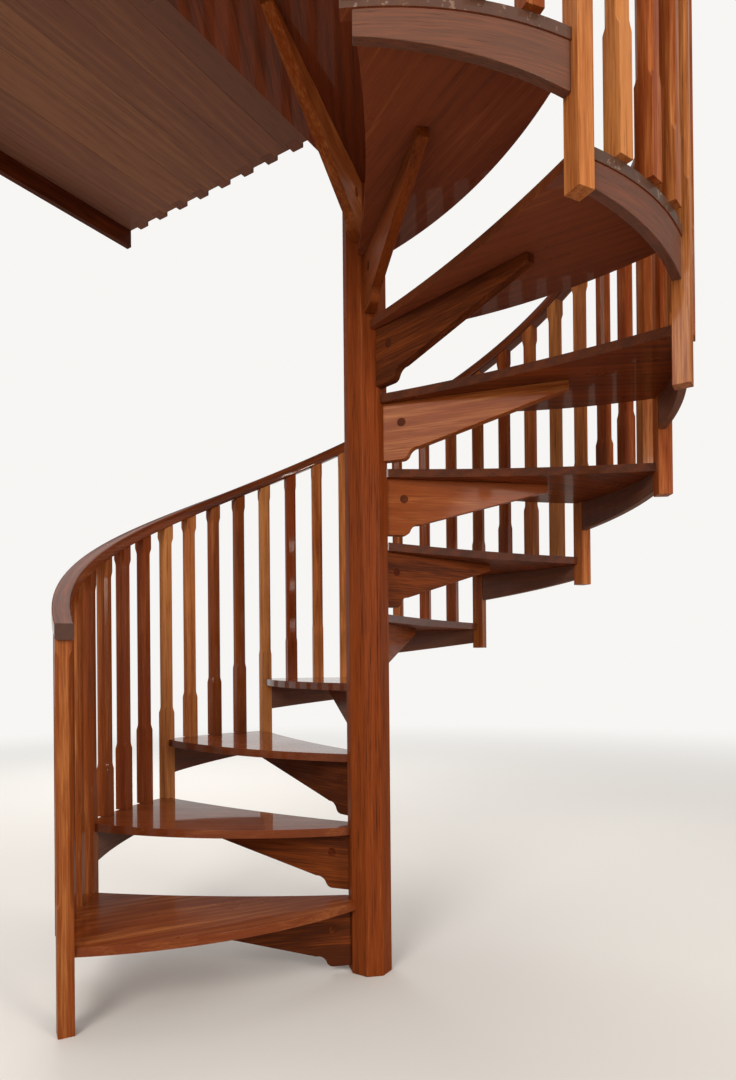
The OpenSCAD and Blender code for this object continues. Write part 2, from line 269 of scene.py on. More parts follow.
class Nodes:
    """Adds nodes to the empty node tree of a material or a world, and links them."""

    def __init__(self, owner):
        owner.use_nodes = True
        self.tree = owner.node_tree
        self.tree.nodes.clear()

    def feed(self, socket, value):
        """Link a socket to value where that is a socket too, or else set it."""
        if isinstance(value, bpy.types.NodeSocket):
            self.tree.links.new(value, socket)
        else:
            socket.default_value = value

    def node(self, kind, *places, **names):
        """New node with its inputs fed by place and by name."""
        made = self.tree.nodes.new(kind)
        for i, value in enumerate(places):
            self.feed(made.inputs[i], value)
        for name, value in names.items():
            self.feed(made.inputs[name], value)
        return made

    def math(self, operation, *values):
        made = self.node("ShaderNodeMath", *values)
        made.operation = operation
        return made.outputs[0]

    def vector(self, operation, *values):
        made = self.node("ShaderNodeVectorMath", *values)
        made.operation = operation
        return made.outputs["Value" if operation == "LENGTH" else "Vector"]

    def product(self, a, b):
        return self.math("MULTIPLY", a, b)

    def total(self, *values):
        """Sum of two or more values."""
        result = values[0]
        for value in values[1:]:
            result = self.math("ADD", result, value)
        return result

    def swing(self, pattern, weight):
        """A pattern from 0 to 1 taken as weight times its distance from a half."""
        return self.product(self.math("SUBTRACT", pattern, 0.5), weight)

    def span(self, value, low, high, to_low, to_high):
        """value taken from the range low..high to to_low..to_high, clamped."""
        return self.node("ShaderNodeMapRange", value, low, high, to_low, to_high).outputs["Result"]

    def mix(self, amount, a, b, blend="MIX"):
        """Mix of two colours, each a socket or three numbers."""
        made = self.tree.nodes.new("ShaderNodeMix")
        made.data_type = "RGBA"
        made.blend_type = blend
        factor, first, second = made.inputs["Factor"], made.inputs[6], made.inputs[7]
        self.feed(factor, amount)
        for socket, value in ((first, a), (second, b)):
            self.feed(socket, value if isinstance(value, bpy.types.NodeSocket) else (*value, 1.0))
        return made.outputs[2]

    def noise(self, place, scale, detail=3.0, rough=0.55, distort=0.0):
        return self.node("ShaderNodeTexNoise", Vector=place, Scale=scale, Detail=detail, Roughness=rough,
                         Distortion=distort).outputs["Fac"]

    def attribute(self, name):
        made = self.node("ShaderNodeAttribute")
        made.attribute_name = name
        return made.outputs["Vector"]

    def parts(self, vector):
        """The three numbers of a vector."""
        return self.node("ShaderNodeSeparateXYZ", vector).outputs

    def blend(self, amount, a, b):
        """Mix of the shaders of two nodes."""
        return self.node("ShaderNodeMixShader", amount, a.outputs[0], b.outputs[0]).outputs[0]

    def finish(self, kind, shader):
        """Send a shader to the tree's output, of the given kind."""
        self.feed(self.node(kind).inputs["Surface"], shader)


# Timber

def drawn_out(n, place, along, stretch):
    """A place whose distances along the fibres count for less, so that patterns are long there."""
    squeeze = [1.0, 1.0, 1.0]
    squeeze[along] = stretch
    return n.vector("MULTIPLY", place, tuple(squeeze))


def growth_rings(n, place, broad, along):
    """Wandering lines of the growth rings, from 0 to 1."""
    axes = n.parts(place)
    first, second = (axes[i] for i in range(3) if i != along)
    wander = n.product(n.noise(broad, WANDER_SIZE, detail=2.0), RING_WANDER)
    turns = n.total(n.product(first, RING_PITCH[0]), n.product(second, RING_PITCH[1]), wander)
    return n.span(n.math("SINE", turns), -1.0, 1.0, 0.0, 1.0)


def wood_ramp(n, shade):
    """Colour of the wood for a shade from 0 to 1."""
    c = bpy.context.scene.stair_colours
    made = n.node("ShaderNodeValToRGB", shade)
    made.color_ramp.interpolation = "EASE"
    stops = made.color_ramp.elements
    stops[0].position, stops[0].color = DARK_STOP, (*c.dark, 1.0)
    stops[1].position, stops[1].color = LIGHT_STOP, (*c.light, 1.0)
    stops.new(MIDDLE_STOP).color = (*c.middle, 1.0)
    return made.outputs["Color"]


def rim_share(n, coords, radius, facing, tone):
    """How grey a place is: most on the upright rim, at radius from the post's middle, of a dark tread."""
    x, y = n.parts(coords)[:2]
    square = n.total(n.product(x, x), n.product(y, y))
    at_rim = n.math("GREATER_THAN", square, (radius - RIM_DEPTH) ** 2)
    upright = n.span(n.math("ABSOLUTE", facing), *UPRIGHT, 0.8, 0.0)
    return n.product(n.product(at_rim, upright), n.span(tone, 0.36, 0.6, 1.0, 0.0))


def weathered(n, place):
    """Grey wood with pale spots where the varnish has worn off."""
    c = bpy.context.scene.stair_colours
    spots = n.span(n.noise(place, CHIP_SIZE, detail=4.0, rough=0.65), 0.60, 0.66, 0.0, 0.55)
    return n.mix(spots, c.rim, c.chip)


def timber(name, along, tones=(0.0, 1.0), gloss=0.12, rough=0.34, figure=1.0, grey_and_shade=0.0, clear=0.08,
           streaks=0.9, edges=0.0, cut=None, under=None, rim=None):
    """Varnished hardwood whose fibres run along axis 0, 1 or 2 of the piece before it was put in place.

    tones: the darkest and the lightest shade that it may take, from 0 to 1
    gloss and clear: weight and roughness of its varnish
    rough: roughness of the wood itself
    figure and streaks: strength of its broad and of its fine grain
    grey_and_shade: how far it is mixed toward grey-brown, for matt grey wood and for painted shade and
    painted sheen
    edges: how dark its upright faces are, as painted shade
    cut: place along the fibres of a dark cut end
    under: gloss of the faces that look down, which are also greyed as painted shade
    rim: radius of a tread's grey outer rim
    """
    c = bpy.context.scene.stair_colours
    material = bpy.data.materials.new(name)
    n = Nodes(material)
    tone, warmth, seed = n.parts(n.attribute("board"))
    coords = n.attribute("grain")
    shift = n.node("ShaderNodeCombineXYZ", *(n.product(seed, step) for step in SEED_SHIFT)).outputs[0]
    place = n.vector("ADD", coords, shift)
    fibre, broad, hair = (drawn_out(n, place, along, stretch) for stretch in (FIBRE, BROAD, HAIR))

    sweep = n.noise(broad, SWEEP_SIZE, detail=2.0, distort=0.4)
    band = n.noise(fibre, BAND_SIZE)
    streak = n.noise(fibre, STREAK_SIZE, rough=0.6)
    pores = n.span(n.noise(hair, PORE_SIZE, rough=0.6), 0.60, 0.74, 0.0, 1.0)
    rings = growth_rings(n, place, broad, along)
    shade = n.total(n.swing(sweep, SWEEP_WEIGHT * figure), n.swing(streak, streaks),
                    n.swing(band, BAND_WEIGHT * figure), n.swing(rings, RING_WEIGHT * figure),
                    n.span(tone, 0.0, 1.0, *tones))

    wood = wood_ramp(n, n.span(shade, *SHADE_ENDS, 0.0, 1.0))
    wood = n.mix(n.span(warmth, 0.0, 1.0, 0.0, 0.4), wood, c.warm, "SOFT_LIGHT")
    # Mixed toward grey-brown: matt grey wood, with painted shade on the guard's balusters and painted sheen
    # on the fascias
    if grey_and_shade:
        wood = n.mix(grey_and_shade, wood, c.grey_and_shade)
    facing = n.parts(n.node("ShaderNodeNewGeometry").outputs["Normal"])["Z"]
    if edges:
        # Painted shade: upright faces are darkened, dark boards the most
        side = n.span(n.math("ABSOLUTE", facing), *UPRIGHT, edges, 0.0)
        wood = n.mix(n.product(side, n.span(tone, 0.3, 0.7, 1.0, 0.2)), wood, c.edge)
    if under is not None:
        # Painted shade: faces that look down go greyer, light boards more than dark ones
        below = n.product(n.span(facing, -0.6, -0.2, 1.0, 0.0), n.span(tone, 0.12, 0.34, 0.04, 0.2))
        wood = n.mix(below, wood, c.grey_and_shade)
    if rim is not None:
        wood = n.mix(rim_share(n, coords, rim, facing, tone), wood, weathered(n, place))
    if cut is not None:
        wood = n.mix(n.span(n.parts(coords)[along], cut, cut + 0.0006, 0.85, 0.0), wood, c.edge)
    wood = n.mix(n.product(pores, 0.7), wood, c.pore)

    worn = n.noise(place, WEAR_SIZE, detail=4.0, rough=0.6)
    shine = n.total(n.span(worn, 0.3, 0.75, rough - 0.06, rough + 0.12), n.product(pores, 0.12))
    ripple = n.noise(broad, RIPPLE_SIZE, detail=2.0)
    relief = n.total(n.product(streak, 0.4), n.product(pores, -0.6), n.product(ripple, 0.5))
    bump = n.node("ShaderNodeBump", Height=relief, Strength=0.2, Distance=RELIEF).outputs["Normal"]
    skin = n.node("ShaderNodeBsdfPrincipled", Roughness=shine, Normal=bump)
    n.feed(skin.inputs["Base Color"], wood)
    skin.inputs["Coat Weight"].default_value = gloss
    if under is not None:
        n.feed(skin.inputs["Coat Weight"], n.span(facing, -0.2, 0.6, under, gloss))
    skin.inputs["Coat Roughness"].default_value = clear
    skin.inputs["Specular IOR Level"].default_value = BARE_SHINE
    n.finish("ShaderNodeOutputMaterial", skin.outputs["BSDF"])
    return material


# Mesh

def draw_board(seed, tone, warmth=None):
    """Tone, warmth and grain offset of one board, the last two drawn from its own seeded numbers."""
    draw = random.Random("%d-%s" % (bpy.context.scene.stair_colours.seed, seed))
    return (tone + draw.uniform(-0.05, 0.05), draw.random() if warmth is None else warmth, draw.random())


class Mesh:
    """Collects the rings, ends and boards of one piece."""

    def __init__(self):
        self.bm = bmesh.new()
        self.board = self.bm.verts.layers.float_vector.new("board")
        self.grain = self.bm.verts.layers.float_vector.new("grain")
        self.bent = False
        self.weight = self.bm.edges.layers.float.new("bevel_weight_edge")

    def loft(self, rings, board, grain=None):
        """Skin over closed rings of points, with both ends shut."""
        rows = []
        self.bent = self.bent or grain is not None
        for r, ring in enumerate(rings):
            row = []
            for i, point in enumerate(ring):
                v = self.bm.verts.new(point)
                v[self.board] = board
                if grain:
                    v[self.grain] = grain[r][i]
                row.append(v)
            rows.append(row)
        n = len(rows[0])
        for a, b in zip(rows, rows[1:]):
            for i in range(n):
                self.bm.faces.new((a[i], a[(i + 1) % n], b[(i + 1) % n], b[i]))
        self.bm.faces.new(rows[0][::-1])
        self.bm.faces.new(rows[-1])

    def weigh(self, test):
        """Bevel weight of each edge from a function of its two ends."""
        for e in self.bm.edges:
            e[self.weight] = test(e.verts[0].co, e.verts[1].co)

    def piece(self, name, nodes, material, turn=0.0, place=(0, 0, 0), bevel=None, segments=2,
              weighted=False):
        """Makes the finished object, in place, riding on the staircase and standing for its CAD nodes."""
        bmesh.ops.recalc_face_normals(self.bm, faces=self.bm.faces)
        mesh = bpy.data.meshes.new(name)
        self.bm.to_mesh(mesh)
        self.bm.free()
        for face in mesh.polygons:
            face.use_smooth = True
        mesh.set_sharp_from_angle(angle=math.radians(SHARP))
        mesh.materials.append(material)
        obj = bpy.data.objects.new(name, mesh)
        bpy.context.scene.collection.objects.link(obj)
        if bevel:
            mesh = ease_edges(obj, bevel, segments, weighted)
        if not self.bent:
            flat = [c for v in mesh.vertices for c in v.co]
            mesh.attributes["grain"].data.foreach_set("vector", flat)
        mesh.transform(Matrix.Translation(place) @ Matrix.Rotation(math.radians(turn), 4, "Z"))
        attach(obj, "root")
        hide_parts(*nodes)


def ease_edges(obj, width, segments, weighted):
    """Rounds the object's edges that have a bevel weight, or else its corners. Returns its new mesh."""
    ease = obj.modifiers.new("eased edges", "BEVEL")
    ease.width = width
    ease.segments = segments
    ease.limit_method = "WEIGHT" if weighted else "ANGLE"
    ease.angle_limit = math.radians(CORNER)
    ease.harden_normals = True
    ease.use_clamp_overlap = True
    graph = bpy.context.evaluated_depsgraph_get()
    eased = bpy.data.meshes.new_from_object(obj.evaluated_get(graph))
    sharp = obj.data
    obj.modifiers.clear()
    obj.data = eased
    bpy.data.meshes.remove(sharp)
    eased.name = obj.name
    return eased


def extruded(mesh, outline, low, high, board, upright=True):
    """A flat outline given a thickness, along Z if upright, else along Y with the outline in X and Z."""
    def at(p, t):
        return (p[0], p[1], t) if upright else (p[0], t, p[1])
    mesh.loft([[at(p, low) for p in outline], [at(p, high) for p in outline]], board)


# Treads

def edge_points(bulge, shift, stop):
    """Points of a tread's curved edge from the middle of the post out to x = stop, its corner at angle 0."""
    ring = sizes().ring
    last = EDGE_POINTS - 1
    start, end = Vector((0.0, -shift)), Vector((ring, 0.0))
    if not bulge:
        return [Vector((stop * i / last, 0.0)) for i in range(EDGE_POINTS)]
    chord = (end - start).length
    radius = (chord * chord / 4 + bulge * bulge) / (2 * bulge)
    centre = (start + end) / 2 - Vector((-shift, ring)) / chord * (radius - bulge)
    a0 = math.atan2(*(start - centre).yx)
    a1 = math.acos((stop - centre.x) / radius)
    return [centre + radius * Vector((math.cos(a), math.sin(a)))
            for a in (a0 + (a1 - a0) * i / last for i in range(EDGE_POINTS))]


def turned(points, degrees):
    """Plan points turned about the middle of the post."""
    c, s = math.cos(math.radians(degrees)), math.sin(math.radians(degrees))
    return [Vector((p.x * c - p.y * s, p.x * s + p.y * c)) for p in points]


def post_radius(angle, turn):
    """Distance from the middle to the octagonal post's face at an angle, for a piece turned by turn."""
    world = (angle + turn) % FLAT_TURN
    off = min(world, FLAT_TURN - world)
    return sizes().newel_width / 2 / math.cos(math.radians(off)) + FIT


def tread_outline(k):
    """Plan of tread k with its front corner at angle 0: front edge, outer rim, back edge and post."""
    s = sizes()
    turn = front_angle(k)
    lip = s.ring + s.tread_lip
    notch = s.bar / 2 + FIT

    def beyond_post(points):
        return [p for p in points if p.length > post_radius(math.degrees(math.atan2(p.y, p.x)), turn)]

    def rim_point(side):
        return Vector((math.sqrt(lip * lip - side * side), side))

    hung = k <= LAST_HUNG
    side = notch if hung else -s.bar / 2 - SEAT
    inner = s.ring - abs(side)
    bulge, shift = (s.back_bulge, s.back_shift) if k < TREADS else (0.0, 0.0)
    front = beyond_post(edge_points(s.nose_bulge, 0.0, s.ring - notch))
    back = beyond_post(turned(edge_points(bulge, shift, inner), -STEP))
    first = math.asin(-notch / lip)
    last = math.asin(side / lip) - math.radians(STEP)
    rim = [Vector((s.ring - notch, -notch)), rim_point(-notch)]
    rim += [Vector((lip * math.cos(a), lip * math.sin(a)))
            for a in (first + (last - first) * i / RIM_STEPS for i in range(1, RIM_STEPS))]
    rim += turned([rim_point(side), Vector((inner, side))], -STEP)
    start = math.degrees(math.atan2(back[0].y, back[0].x))
    end = math.degrees(math.atan2(front[0].y, front[0].x))
    around = []
    for i in range(NOTCH_STEPS + 1):
        a = start + (end - start) * i / NOTCH_STEPS
        r = post_radius(a, turn)
        around.append(Vector((r * math.cos(math.radians(a)), r * math.sin(math.radians(a)))))
    return front, rim, back[::-1], around


def tread_ease(front, back):
    """Function that gives the bevel weight of a tread's edge from its two ends: 1 along the front."""
    def spot(p):
        return round(p.x, 5), round(p.y, 5)

    nose, heel = {spot(p) for p in front}, {spot(p) for p in back}

    def ease(a, b):
        ends = {spot(a), spot(b)}
        if abs(a.z - b.z) > 1e-6:
            return 0.0
        if ends <= nose:
            return 1.0
        return 0.35 if ends <= heel else 0.15
    return ease


class STAIR_OT_treads(bpy.types.Operator):
    """Builds the eleven treads, with a rounded front edge and notches for the corner balusters"""
    bl_idname = "stair.treads"
    bl_label = "Treads"

    def execute(self, context):
        s = sizes()
        c = context.scene.stair_colours
        wood = timber("glossy tread timber", 0, tones=(0.1, 0.9), gloss=c.gloss, under=c.under,
                      rough=0.3, clear=0.035, streaks=0.75, edges=0.6, rim=s.ring + s.tread_lip)
        for k in range(1, TREADS + 1):
            front, rim, back, around = tread_outline(k)
            mesh = Mesh()
            extruded(mesh, front + rim + back + around, s.rise * k - s.tread_thick, s.rise * k,
                     draw_board("tread %d" % k, TREAD_TONES[k - 1], 0.8))
            mesh.weigh(tread_ease(front, back))
            mesh.piece("tread_board_%02d" % k, ["tread_%02d" % k], wood, turn=front_angle(k),
                       bevel=s.nose_round, segments=4, weighted=True)
        return {"FINISHED"}


# Newel post

class STAIR_OT_newel(bpy.types.Operator):
    """Builds the octagonal newel post with its bevelled top"""
    bl_idname = "stair.newel"
    bl_label = "Newel post"

    def execute(self, context):
        s = sizes()
        wood = timber("newel timber", 2, tones=(0.16, 0.54), gloss=0.04, rough=0.42, streaks=1.2)
        slant = math.cos(math.radians(HALF_FLAT))
        corner, bevel = s.newel_width / 2 / slant, s.newel_bevel / slant
        top = NEWEL_HIGH.z
        levels = [(z, corner) for z in (0.0, *NEWEL_CUTS, top - s.newel_bevel)] + [(top, corner - bevel)]
        mesh = Mesh()
        mesh.loft([[on_circle(r, HALF_FLAT + FLAT_TURN * i, z) for i in range(8)] for z, r in levels],
                  draw_board("newel", 0.5, 0.6))
        mesh.piece("newel_timber", ["newel_post"], wood, bevel=0.0022, segments=3)
        return {"FINISHED"}


# Brackets

def bracket_angle(k):
    """Direction of the bracket under tread k, in degrees."""
    return front_angle(k) - math.degrees(sizes().bracket_lag)


def bracket_outline(reach, end):
    """Side view of a bracket: distance from the middle of the post, height below the tread."""
    s = sizes()
    corner = (s.newel_width / 2 + s.bracket_flat, s.bracket_round - s.bracket_deep)
    # Slant of the line where the rounded corner passes into the cove, in degrees
    lean = 20.0
    both = s.bracket_round + s.bracket_cove
    tilt = math.radians(lean)
    cove = (corner[0] + both * math.cos(tilt), corner[1] - both * math.sin(tilt))
    slope = math.degrees(math.atan2(s.bracket_neck - end, reach - cove[0]))
    start = s.newel_width / 2 + FIT / 2
    foot = arc(corner, s.bracket_round, -90.0, -lean, ROUND_POINTS)
    hollow = arc(cove, s.bracket_cove, 180.0 - lean, 90.0 - slope * 0.5, COVE_POINTS)
    return [(start, -s.bracket_deep)] + foot + hollow[1:] + [(reach, -end), (reach, 0.0), (start, 0.0)]


def post_reach(angle, side):
    """Where a line beside the radius at angle, off it by side, meets the face of the octagonal post."""
    flat = sizes().newel_width / 2
    best = 0.0
    for i in range(8):
        off = math.radians(FLAT_TURN * i - angle)
        # Only flats that face the line count
        if math.cos(off) > 0.3:
            x = (flat - side * math.sin(off)) / math.cos(off)
            best = x if best == 0.0 else min(best, x)
    return best + FIT / 2


class STAIR_OT_brackets(bpy.types.Operator):
    """Builds the tapered brackets that carry the treads, with an ogee beside the post"""
    bl_idname = "stair.brackets"
    bl_label = "Brackets"

    def execute(self, context):
        s = sizes()
        wood = timber("bracket timber", 0, gloss=0.06, rough=0.36, figure=0.7)
        half = s.bracket_thick / 2
        for k in range(1, TREADS + 1):
            mesh = Mesh()
            last = k == TREADS
            outline = bracket_outline(s.bracket_last if last else s.bracket_reach,
                                      s.bracket_tip if last else s.bracket_end)
            extruded(mesh, outline, -half, half, draw_board("bracket %d" % k, BRACKET_TONES[k - 1], 0.2),
                     upright=False)
            angle = bracket_angle(k)
            for v in mesh.bm.verts:
                if v.co.x < s.newel_width / 2 + 0.001:
                    v.co.x = post_reach(angle, v.co.y)
            mesh.piece("bracket_timber_%02d" % k, ["bracket_%02d" % k], wood, turn=angle,
                       place=(0, 0, s.rise * k - s.tread_thick), bevel=0.002)
        return {"FINISHED"}


class STAIR_OT_plugs(bpy.types.Operator):
    """Builds the round wooden plugs that cover the bolts in both sides of each bracket"""
    bl_idname = "stair.plugs"
    bl_label = "Plugs"

    def execute(self, context):
        s = sizes()
        wood = timber("dark plug timber", 0, tones=(-0.1, 0.12), gloss=0.0, rough=0.5)
        mesh = Mesh()
        middle = s.newel_width / 2 + s.plug_out
        radius, face = s.plug_wide / 2, s.bracket_thick / 2
        # How far a plug stands proud of the bracket and how deep its edge runs in
        proud, deep = 0.001, 0.003
        profile = ((radius, face - deep), (radius, face + proud * 0.3), (radius - 0.0007, face + proud * 0.9),
                   (radius * 0.5, face + proud), (radius * 0.1, face + proud))
        for k in range(1, TREADS + 1):
            turn = Matrix.Rotation(math.radians(bracket_angle(k)), 4, "Z")
            z = s.rise * k - s.tread_thick - s.plug_down
            for side in (-1, 1):
                rings = [[turn @ Vector((x, side * y, up))
                          for x, up in arc((middle, z), r, 0.0, 360.0 - 360.0 / PLUG_POINTS, PLUG_POINTS)]
                         for r, y in profile]
                mesh.loft(rings, draw_board("plug %d %d" % (k, side), 0.3))
        mesh.piece("bracket_plug_discs", ["bracket_plugs"], wood)
        return {"FINISHED"}


# Fascias

def fascia_board(mesh, k):
    """One curved board under the outer edge of tread k, deeper at the front of the tread."""
    s = sizes()
    outer = s.ring + s.tread_lip - s.fascia_set
    inner = outer - s.fascia_thick
    clear = s.bar / 2 + FIT
    top = s.rise * k - s.tread_thick
    mid = front_angle(k) - STEP / 2
    slope = (s.fascia_front - s.fascia_back) / (2 * outer * math.sin(math.radians(STEP / 2)))
    rings, grain = [], []
    for i in range(FASCIA_STEPS + 1):
        ring, fibres = [], []
        for r, at_top in ((inner, True), (outer, True), (outer, False), (inner, False)):
            reach = math.degrees(math.asin(clear / r))
            first = STEP / 2 - reach
            last = reach - STEP / 2 if k <= LAST_HUNG else -STEP / 2
            a = first + (last - first) * i / FASCIA_STEPS
            low = (s.fascia_front + s.fascia_back) / 2 + slope * r * math.sin(math.radians(a))
            z = top if at_top else top - low
            ring.append(on_circle(r, mid + a, z))
            fibres.append((r - inner, z, outer * math.radians(a)))
        rings.append(ring)
        grain.append(fibres)
    mesh.loft(rings, draw_board("fascia %d" % k, 0.4), grain=grain)


class STAIR_OT_fascias(bpy.types.Operator):
    """Builds the curved boards under the treads' outer edges"""
    bl_idname = "stair.fascias"
    bl_label = "Fascias"

    def execute(self, context):
        # The fascias are greyed as a painted sheen of the pale wall
        wood = timber("fascia timber", 2, tones=(0.0, 0.32), figure=0.6, grey_and_shade=0.4)
        for name, first, last in TREAD_GROUPS:
            mesh = Mesh()
            for k in range(first, last + 1):
                fascia_board(mesh, k)
            mesh.piece("%s_curved_fascias" % name, ["fascia_%s" % name], wood, bevel=0.0018)
        return {"FINISHED"}


# Balusters

def bar_ring(half, chamfer, z):
    """Eight corners of a square bar with its corners cut, at height z or heights from a function."""
    inner = half - chamfer
    corners = [(half, -inner), (half, inner), (inner, half), (-inner, half),
               (-half, inner), (-half, -inner), (-inner, -half), (inner, -half)]
    return [(x, y, z(x, y) if callable(z) else z) for x, y in corners]


def tongue_shape(t):
    """Depth of a chamfer's tongue, 0 to 1: a quick hollow and then a long flat curve."""
    return math.sin(t * math.pi / 2) ** 1.3


def baluster(mesh, place, turn, foot, head, low, high, board):
    """One square bar with stopped chamfers. low and high are where the chamfers' tongues start."""
    s = sizes()
    half = s.bar / 2
    tongue = [(ARRIS + (s.chamfer - ARRIS) * tongue_shape(t), s.tongue * t)
              for t in (i / TONGUE_STEPS for i in range(1, TONGUE_STEPS + 1))]
    span = high - low - 2 * s.tongue
    rings = [bar_ring(half, ARRIS, foot), bar_ring(half, ARRIS, low)]
    rings += [bar_ring(half, cut, low + away) for cut, away in tongue]
    rings += [bar_ring(half, s.chamfer, low + s.tongue + span * i / SHAFT_STEPS)
              for i in range(1, SHAFT_STEPS)]
    rings += [bar_ring(half, cut, high - away) for cut, away in reversed(tongue)]
    rings += [bar_ring(half, ARRIS, high), bar_ring(half, ARRIS, head)]
    m = Matrix.Translation(place) @ Matrix.Rotation(math.radians(turn), 4, "Z")
    mesh.loft([[m @ Vector(p) for p in ring] for ring in rings], board)


def flight_baluster(mesh, j, foot, tone):
    """Baluster j of the flight, its head cut to the rail's slope."""
    s = sizes()
    climb = s.rise / (s.ring * math.radians(STEP))
    top = nosing(j) + s.rail_up - FIT
    over = s.bar / 2 * climb
    turn = FIRST_ANGLE - STEP / PER_TREAD * j
    baluster(mesh, on_circle(s.ring, turn), turn, foot, lambda x, y: top - y * climb,
             nosing(j) + s.block_low, top - s.block_top - over, draw_board("baluster %d" % j, tone))


class STAIR_OT_corner_balusters(bpy.types.Operator):
    """Builds the long balusters that stand at the corners of the treads and hang below them"""
    bl_idname = "stair.corner_balusters"
    bl_label = "Corner balusters"

    def execute(self, context):
        s = sizes()
        wood = timber("corner baluster timber", 2)
        for name, first, last in CORNER_GROUPS:
            mesh = Mesh()
            for k in range(first, last + 1):
                hung = 0 < k <= LAST_HUNG
                drop = s.long_drop if k == LONG_ONE else s.drop
                foot = s.rise * k - drop if hung else s.rise * k
                flight_baluster(mesh, PER_TREAD * k, foot, CORNER_TONES[k])
            mesh.piece("%s_corner_bars" % name, ["corner_balusters_%s" % name], wood,
                       bevel=0.0007)
        return {"FINISHED"}


class STAIR_OT_tread_balusters(bpy.types.Operator):
    """Builds the short balusters that stand on the treads"""
    bl_idname = "stair.tread_balusters"
    bl_label = "Tread balusters"

    def execute(self, context):
        s = sizes()
        wood = timber("baluster timber", 2, tones=(0.34, 1.0))
        for name, first, last in TREAD_GROUPS:
            mesh = Mesh()
            for k in range(first, last + 1):
                for i in range(1, PER_TREAD):
                    flight_baluster(mesh, PER_TREAD * (k - 1) + i, s.rise * k, SHORT_TONES[k - 1][i - 1])
            mesh.piece("%s_tread_bars" % name, ["tread_balusters_%s" % name], wood, bevel=0.0007)
        return {"FINISHED"}


# Handrail

def rail_section():
    """Section of the handrail with rounded edges: distance from its middle, height over its underside."""
    s = sizes()
    r, half = s.rail_ease, s.rail_wide / 2
    points = []
    for cx, cy, start in ((half - r, r, -90), (half - r, s.rail_deep - r, 0),
                          (-half + r, s.rail_deep - r, 90), (-half + r, r, 180)):
        points += arc((cx, cy), r, start, start + 90, RAIL_ROUND)
    return points


class STAIR_OT_handrail(bpy.types.Operator):
    """Builds the helical handrail with rounded long edges and square-cut ends"""
    bl_idname = "stair.handrail"
    bl_label = "Handrail"

    def execute(self, context):
        s = sizes()
        wood = timber("handrail timber", 2, tones=(0.05, 0.5), gloss=0.7, rough=0.3, cut=-s.rail_lead)
        section = rail_section()
        lead = math.degrees(s.rail_lead / s.ring)
        end = TREADS * STEP + lead
        rings, grain = [], []
        for i in range(RAIL_STEPS + 1):
            t = -lead + (end + lead) * i / RAIL_STEPS
            along = math.radians(t) * s.ring
            z = s.rise * (1 + t / STEP) + s.rail_up
            rings.append([on_circle(s.ring + x, FIRST_ANGLE - t, z + y) for x, y in section])
            grain.append([(x, y, along) for x, y in section])
        mesh = Mesh()
        mesh.loft(rings, draw_board("handrail", 0.4, 0.5), grain=grain)
        mesh.piece("helical_handrail", ["handrail"], wood)
        return {"FINISHED"}


# Landing

def land_side():
    """Distance of the landing's outer sides from the middle of the post."""
    s = sizes()
    return s.ring + s.land_over


def landing_top():
    """Height of the upper floor."""
    return sizes().rise * (TREADS + 1)


def guard_places():
    """Where the landing's balusters stand. Their rail passes the last one by three quarters of a spacing."""
    s = sizes()
    pitch = (land_side() - s.newel_width / 2 - s.guard_first) / (GUARD_COUNT - 0.25)
    y = -s.land_edge + s.guard_out - s.bar / 2
    return [(-s.newel_width / 2 - s.guard_first - i * pitch, y) for i in range(GUARD_COUNT)]


class STAIR_OT_landing_boards(bpy.types.Operator):
    """Builds the landing's floor boards, notched for the balusters and the post"""
    bl_idname = "stair.landing_boards"
    bl_label = "Landing boards"

    gap: FloatProperty(name="Joint", description="Width of the joint between two boards", default=0.0006,
                       unit="LENGTH")

    def execute(self, context):
        s = sizes()
        side = land_side()
        wood = timber("landing timber", 1, tones=(0.1, 0.95), gloss=0.1, rough=0.42, figure=1.4, grey_and_shade=0.7)
        wide = (side - self.gap * (LANDING_BOARDS - 1)) / LANDING_BOARDS
        half = s.bar / 2 + FIT
        flat = s.newel_width / 2 + FIT
        corner = flat * math.tan(math.radians(HALF_FLAT))
        edge = -s.land_edge
        deep = guard_places()[0][1] - half
        top = landing_top()
        mesh = Mesh()
        for i in range(LANDING_BOARDS):
            x0 = -side + i * (wide + self.gap)
            x1 = x0 + wide
            notches = [(max(x - half, x0), min(x + half, x1)) for x, y in guard_places()]
            notches = [(left, right) for left, right in notches if left < right]
            outline = [(x0, -side), (x1, -side)]
            if i == LANDING_BOARDS - 1:
                outline += [(x1, -s.ring - half), (-half, -s.ring - half), (-half, -s.ring + half),
                            (x1, -s.ring + half), (x1, -flat), (-corner, -flat),
                            (-corner - flat - edge, edge)]
            elif not any(right > x1 - FIT for left, right in notches):
                outline.append((x1, edge))
            for left, right in notches:
                outline += [(right, edge)] if right < x1 - FIT else []
                outline += [(right, deep), (left, deep)]
                outline += [(left, edge)] if left > x0 + FIT else []
            if not any(left < x0 + FIT for left, right in notches):
                outline.append((x0, edge))
            extruded(mesh, outline, top - s.land_thick, top,
                     draw_board("landing board %d" % i, LANDING_TONES[i]))
        mesh.piece("landing_floor_boards", ["landing_boards"], wood, bevel=0.0003, segments=1)
        return {"FINISHED"}


